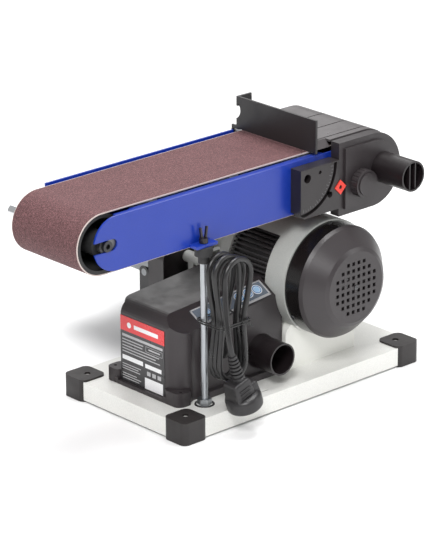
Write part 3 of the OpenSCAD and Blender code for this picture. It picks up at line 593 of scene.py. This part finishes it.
def gland_sleeve():
    """Bent and ribbed sleeve that turns the lead upward out of its gland."""
    bend_z = GLAND_Z + SLEEVE_TURN
    pts = [(GLAND_X, y, GLAND_Z) for y in (WALL_Y - 1, WALL_Y - 3, SLEEVE_Y)]
    pts += [(GLAND_X, SLEEVE_Y - SLEEVE_TURN * math.sin(a), bend_z - SLEEVE_TURN * math.cos(a))
            for a in (math.pi / 2 * k / 6 for k in range(1, 7))]
    pts += [(GLAND_X, CORD_EXIT[1], bend_z + (CORD_EXIT[2] - bend_z) * k / 10)
            for k in range(1, 11)]
    wide = [1.0 + 0.32 * (1 - k / (len(pts) - 1)) + (0.12 if k > 8 and k % 2 else 0.0)
            for k in range(len(pts))]
    sleeve = tube("gland_sleeve", pts, 4.0, "plug_rubber", taper=wide)
    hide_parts("cord_gland")
    place = (Matrix.Translation(mm(GLAND_X, WALL_Y + 0.1, GLAND_Z))
             @ Matrix.Rotation(math.radians(90), 4, "X"))
    prof = [(0, 0), (6.5, 0), (6.5, 2.2), (5.6, 3.4), (0, 3.4)]
    add("gland_collar", finish_mesh(lathe_bm(prof, 40, None, place), "collar"), "plug_rubber")


gland_sleeve()


def hank_tie():
    """Thin coated wire, twice round the post and the hank, with its ends twisted together."""
    (x0, x1), (y0, y1), r = TIE_X, TIE_Y, TIE_CORNER
    pts = []
    for turn in range(2):
        for cx, cy, a0 in ((x1 - r, y1 - r, 0), (x0 + r, y1 - r, 90), (x0 + r, y0 + r, 180),
                           (x1 - r, y0 + r, 270)):
            for k in range(6):
                a = math.radians(a0 + 18 * k)
                pts.append((cx + r * math.cos(a), cy + r * math.sin(a),
                            TIE_Z - 0.9 + turn * 1.9 + 0.07 * len(pts) / 4))
    ring = tube("hank_tie_wire", pts, TIE_WIRE, "wire")
    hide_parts("hank_tie")
    for s in (0, math.pi):
        ends = []
        for k in range(25):
            t = k / 24
            a = s + t * 4 * math.pi
            ends.append((-92 + 12 * t + 0.85 * math.cos(a), y0 - 1.2 - 2.6 * t,
                         TIE_Z + 0.6 - 5 * t * t + 0.85 * math.sin(a)))
        tube(f"hank_tie_end_{'a' if s else 'b'}", ends, TIE_WIRE, "wire")


hank_tie()

# ------------------------------------------------------------ printed plates

LABEL_X = -138.9
LABEL_Y = (-31.0, 37.0)
LABEL_Z = (23.5, 98.3)


def label_patch(name, s0, s1, t0, t1, mat, lift=0.12):
    """Printed area on the rating plate: s from its left to right edge, t from top to bottom."""
    w, h = LABEL_Y[1] - LABEL_Y[0], LABEL_Z[1] - LABEL_Z[0]
    bm = block_bm((LABEL_X - lift, LABEL_X + 0.1), (LABEL_Y[1] - s1 * w, LABEL_Y[1] - s0 * w),
                  (LABEL_Z[1] - t1 * h, LABEL_Z[1] - t0 * h), 0.05, segments=1)
    return add(name, finish_mesh(bm, name), mat)


def rating_print():
    label_patch("print_band", 0.0, 1.0, 0.0, 0.215, "print_red")
    label_patch("print_band_bar", 0.31, 0.86, 0.085, 0.145, "print_white", 0.16)
    w, h = LABEL_Y[1] - LABEL_Y[0], LABEL_Z[1] - LABEL_Z[0]
    at = Matrix.Translation(mm(LABEL_X, LABEL_Y[1] - 0.2 * w, LABEL_Z[1] - 0.115 * h)) \
        @ Matrix.Rotation(math.radians(-90), 4, "Y")
    add("print_band_dot", finish_mesh(lathe_bm([(0, -0.05), (3.1, -0.05), (3.1, 0.16), (0, 0.16)],
                                               32, None, at), "print_band_dot"), "print_white")
    rows = [(0.04, 0.96, 0.262, 0.3), (0.04, 0.52, 0.335, 0.35), (0.04, 0.5, 0.378, 0.393),
            (0.04, 0.88, 0.425, 0.44), (0.04, 0.8, 0.468, 0.483), (0.04, 0.9, 0.511, 0.526),
            (0.04, 0.46, 0.70, 0.712), (0.04, 0.40, 0.735, 0.747), (0.04, 0.44, 0.77, 0.782),
            (0.04, 0.36, 0.84, 0.852), (0.04, 0.46, 0.875, 0.887), (0.04, 0.42, 0.91, 0.922),
            (0.64, 0.9, 0.352, 0.372)]
    for k, (s0, s1, t0, t1) in enumerate(rows):
        label_patch(f"print_row_{k}", s0, s1, t0, t1, "print_grey")
    for k, (s0, s1, t0, t1) in enumerate([(0.04, 0.51, 0.575, 0.64), (0.56, 0.93, 0.585, 0.645),
                                          (0.55, 0.96, 0.79, 0.955)]):
        label_patch(f"print_box_{k}", s0, s1, t0, t1, "print_white")
    for k, (s0, s1, t0, t1) in enumerate([(0.58, 0.95, 0.325, 0.33), (0.58, 0.95, 0.4, 0.405),
                                          (0.575, 0.58, 0.325, 0.405), (0.95, 0.955, 0.325, 0.405),
                                          (0.6, 0.68, 0.69, 0.75), (0.72, 0.8, 0.69, 0.75),
                                          (0.84, 0.92, 0.69, 0.75)]):
        label_patch(f"print_frame_{k}", s0, s1, t0, t1, "print_grey")


rating_print()


# the housing's bevel: a point on it, its slope along X and its tilt, and its plate's sides
BEVEL_AT, BEVEL_SLOPE, BEVEL_TILT = (-115, -27, 113.2), -5.3, 32.3
BEVEL_X, BEVEL_Y = (10, 108), (-26, -5)


def bevel_place():
    return (Matrix.Translation(mm(*BEVEL_AT))
            @ Matrix.Rotation(math.radians(BEVEL_SLOPE), 4, "Y")
            @ Matrix.Rotation(math.radians(BEVEL_TILT), 4, "X"))


def bevel_print():
    at = bevel_place()
    (x0, x1), (y0, y1) = BEVEL_X, BEVEL_Y
    bm = bmesh.new()
    for x, y in (((x0, x1), (y0, y0 + 2.6)), ((x0, x1), (y1 - 1.4, y1)),
                 ((x0, x0 + 1.8), (y0, y1)), ((x1 - 1.8, x1), (y0, y1))):
        block_bm(x, y, (0.2, 0.95), 0.2, bm, at)
    add("bevel_frame", finish_mesh(bm, "bevel_frame"), "print_grey")
    for k, x in enumerate((26, 72, 84.5, 97)):
        disc = at @ Matrix.Translation(mm(x, -14.2, 0.45))
        prof = [(0, 0), (5.9, 0), (5.9, 0.3), (0, 0.3)]
        add(f"bevel_disc_{k}", finish_mesh(lathe_bm(prof, 40, None, disc), "disc"), "print_white")
        prof = [(3.9, 0.28), (5.1, 0.28), (5.1, 0.4), (3.9, 0.4), (3.9, 0.28)]
        add(f"bevel_dot_{k}", finish_mesh(lathe_bm(prof, 40, None, disc), "dot"), "print_blue")
        prof = [(0, 0.28), (3.4, 0.28), (3.4, 0.4), (0, 0.4)]
        add(f"bevel_ring_{k}", finish_mesh(lathe_bm(prof, 32, None, disc), "ring"), "print_pale")


bevel_print()

# ------------------------------------------------------------ hardware


def cross_screw(name, at, axis, r, body, mat="dark_steel"):
    """Domed screw head, sitting on an existing head, with a dark cross on it as painted shade for
    its cross recess.
    """
    z = Vector(axis).normalized()
    place = Matrix.Translation(mm(*at)) @ z.to_track_quat("Z", "Y").to_matrix().to_4x4()
    bm = lathe_bm([(0, -0.3), (r, -0.3), (r, 0.1), (r * 0.86, 0.5), (r * 0.55, 0.75), (0, 0.8)], 32,
                  None, place)
    add(name, finish_mesh(bm, name), mat, body)
    # the cross recess is not cut: a dark raised cross is painted shade standing in for the recess
    bm = block_bm((-r * 0.6, r * 0.6), (-r * 0.13, r * 0.13), (0.45, 0.88), 0.05, None, place)
    block_bm((-r * 0.13, r * 0.13), (-r * 0.6, r * 0.6), (0.45, 0.88), 0.05, bm, place)
    add(name + "_recess", finish_mesh(bm, name), "fin_metal", body)


def helix(name, x, y, z0, z1, r, pitch, wire, mat, body="frame"):
    n = int((z1 - z0) / pitch * 16)
    pts = [(x + r * math.cos(2 * math.pi * k / 16), y + r * math.sin(2 * math.pi * k / 16),
            z0 + (z1 - z0) * k / n) for k in range(n + 1)]
    tube(name, pts, wire, mat, body, sides=2)


helix("post_thread", POST_X, POST_Y, 29, 46, 3.5, 1.25, 0.42, "zinc")
ring = lathe_bm([(8.2, -0.1), (10.6, -0.1), (10.4, 0.7), (8.6, 0.9), (8.2, -0.1)], 48, None,
                Matrix.Translation(mm(POST_X, POST_Y, TRAY_TOP)))
add("post_seat", finish_mesh(ring, "post_seat"), "rubber")

REAR = (0, -1, 0)
cross_screw("cowl_centre_screw", (MOTOR_X, -107.7, MOTOR_Z), REAR, 2.6, "frame")
for where, x, z in (("low", 54.5, 210.4), ("high", 22, 235)):
    cross_screw(f"bracket_screw_{where}", (x, BRACKET_FACE_Y + 6.7, z), REAR, 2.9, "arm")


def angle_scale():
    """Plain division marks beside the bracket's quadrant groove."""
    bm = bmesh.new()
    for k in range(19):
        a = math.radians(-4 - 4.6 * k)
        inner = 41.2 if k % 3 == 0 else 43
        place = (Matrix.Translation(mm(14, BRACKET_FACE_Y - 0.02, 244))
                 @ Matrix.Rotation(-a, 4, "Y"))
        block_bm((inner, 45.2), (-0.05, 0.1), (-0.28, 0.28), 0.03, bm, place, segments=1)
    add("angle_marks", finish_mesh(bm, "angle_marks"), "dark_steel", "arm")


angle_scale()

# ------------------------------------------------------------ floor and light


FLOOR_SIDE = 14  # metres


def stage():
    bpy.ops.mesh.primitive_plane_add(size=FLOOR_SIDE, location=(0, 0, 0))
    floor = bpy.context.object
    floor.name = "floor"
    m = Mat("floor", 0.7)
    m.color(m.ramp(m.noise(3, 3), [(0.3, (0.9, 0.9, 0.9)), (0.7, (0.93, 0.93, 0.93))]))
    floor.data.materials.append(m.m)


def area_light(name, at, aim, size, power, color=(1, 1, 1)):
    data = bpy.data.lights.new(name, "AREA")
    data.shape = "RECTANGLE"
    data.size, data.size_y = size
    data.energy = power
    data.color = color
    obj = bpy.data.objects.new(name, data)
    scene.collection.objects.link(obj)
    obj.location = at
    obj.rotation_euler = (Vector(aim) - Vector(at)).to_track_quat("-Z", "Y").to_euler()


stage()
world = bpy.data.worlds.new("studio")
scene.world = world
world.use_nodes = True
sky = world.node_tree.nodes["Background"]
sky.inputs["Color"].default_value = (1, 1, 1, 1)
sky.inputs["Strength"].default_value = 0.5
area_light("key", (-1.6, -1.3, 2.1), (0, 0, 0.12), (0.9, 0.9), 56)
area_light("top", (0.3, 0.2, 2.3), (0, 0, 0.1), (1.2, 1.2), 44)
area_light("side", (1.5, -1.9, 0.9), (0, 0, 0.12), (0.7, 1.4), 12)
area_light("rim", (1.2, 1.9, 1.4), (0, 0, 0.15), (1.2, 0.8), 6)
scene.view_settings.view_transform = "Standard"
